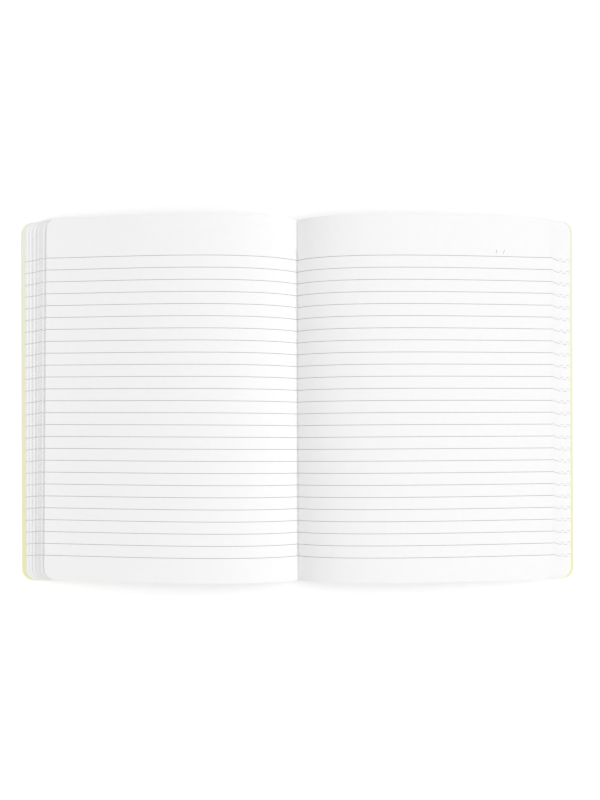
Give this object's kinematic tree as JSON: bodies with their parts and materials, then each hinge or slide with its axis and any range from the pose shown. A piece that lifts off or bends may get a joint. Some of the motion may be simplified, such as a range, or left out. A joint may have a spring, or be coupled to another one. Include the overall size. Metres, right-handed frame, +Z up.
{
  "type": "composition notebook",
  "caption": "Open composition notebook lying flat: card boards, a cloth tape spine and arched ruled pages sewn through the fold, with a hinge that closes it.",
  "frame": {"origin": "midpoint of the notebook's underside, below the fold, half way between head and tail", "axes": "+X to the reader's right across the opened pages, +Y along the fold towards the head of the pages, +Z up out of the open pages"},
  "size_m": [0.381, 0.2476, 0.0258],
  "materials": {
    "cover_board": "smooth coated card",
    "tape_cloth": "fine woven book cloth",
    "page_paper": "matt uncoated writing paper",
    "seam_thread": "twisted cotton thread"
  },
  "bodies": {
    "back_half": {"back_cover": "cover_board", "back_pages": "page_paper", "spine_tape": "tape_cloth", "sewing_thread": "seam_thread"},
    "front_half": {"front_cover": "cover_board", "front_pages": "page_paper"}
  },
  "joints": [
    {"name": "front_cover_hinge", "type": "hinge", "parent": "back_half", "child": "front_half", "pos_m": [0, 0, 0.005], "axis": [0, 1, 0], "range_deg": [0, 180], "deforming": ["front_pages", "back_pages", "spine_tape"]}
  ]
}
